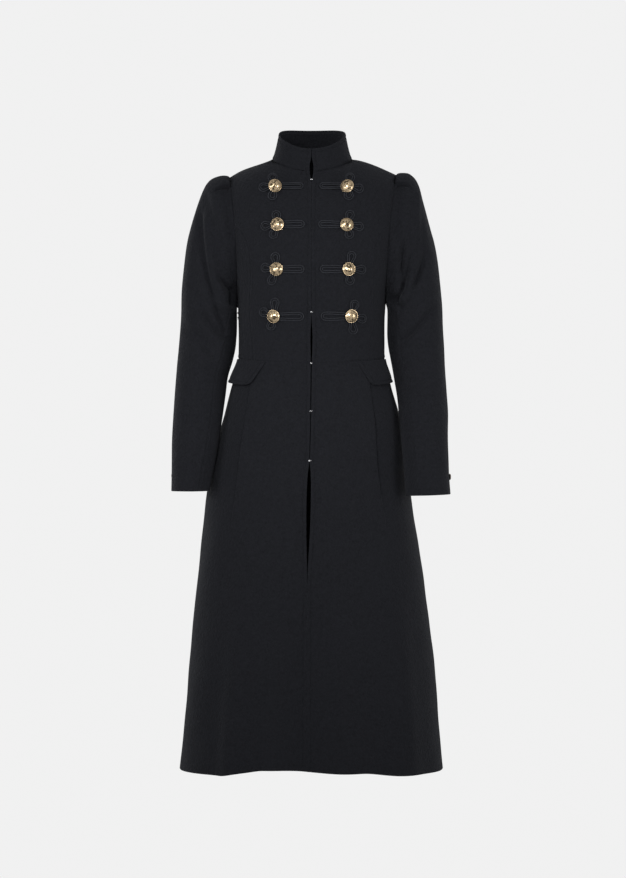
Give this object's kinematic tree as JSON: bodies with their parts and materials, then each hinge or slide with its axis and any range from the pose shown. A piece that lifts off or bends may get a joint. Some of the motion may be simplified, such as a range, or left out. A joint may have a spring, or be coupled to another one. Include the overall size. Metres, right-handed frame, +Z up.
{
  "type": "military greatcoat, filled out as worn, with no stand",
  "caption": "Long fitted black wool military coat: stand collar, domed gold buttons on cord frogs, hooked front edges, hip pocket flaps and a flared skirt.",
  "frame": {"origin": "base of the neck, on the middle line, in the plane between the front and the back of the coat", "axes": "+Z up towards the collar, front of the coat towards -Y, +X towards the wearer's left (the right of the picture)"},
  "size_m": [0.5517, 0.3341, 1.2808],
  "materials": {
    "cloth": "matt brushed wool",
    "cord": "silky braid",
    "gold": "polished gilt",
    "bronze": "dark antique",
    "steel": "bright plated"
  },
  "bodies": {
    "root": {"collar": "cloth", "bodice_back": "cloth", "skirt_back": "cloth", "bodice_front_left": "cloth", "bodice_side_front_left": "cloth", "bodice_side_back_left": "cloth", "skirt_front_left": "cloth", "skirt_side_back_left": "cloth", "sleeve_upper_left": "cloth", "sleeve_under_left": "cloth", "pocket_flap_left": "cloth", "bodice_front_right": "cloth", "bodice_side_front_right": "cloth", "bodice_side_back_right": "cloth", "skirt_front_right": "cloth", "skirt_side_back_right": "cloth", "sleeve_upper_right": "cloth", "sleeve_under_right": "cloth", "pocket_flap_right": "cloth", "frog_left_1": "cord", "button_left_1": "gold", "frog_left_2": "cord", "button_left_2": "gold", "frog_left_3": "cord", "button_left_3": "gold", "frog_left_4": "cord", "button_left_4": "gold", "frog_right_1": "cord", "button_right_1": "gold", "frog_right_2": "cord", "button_right_2": "gold", "frog_right_3": "cord", "button_right_3": "gold", "frog_right_4": "cord", "button_right_4": "gold", "hook_1": "steel", "hook_2": "steel", "hook_3": "steel", "hook_4": "steel", "hook_5": "steel", "cuff_button_left": "bronze", "cuff_button_right": "bronze"}
  },
  "joints": []
}
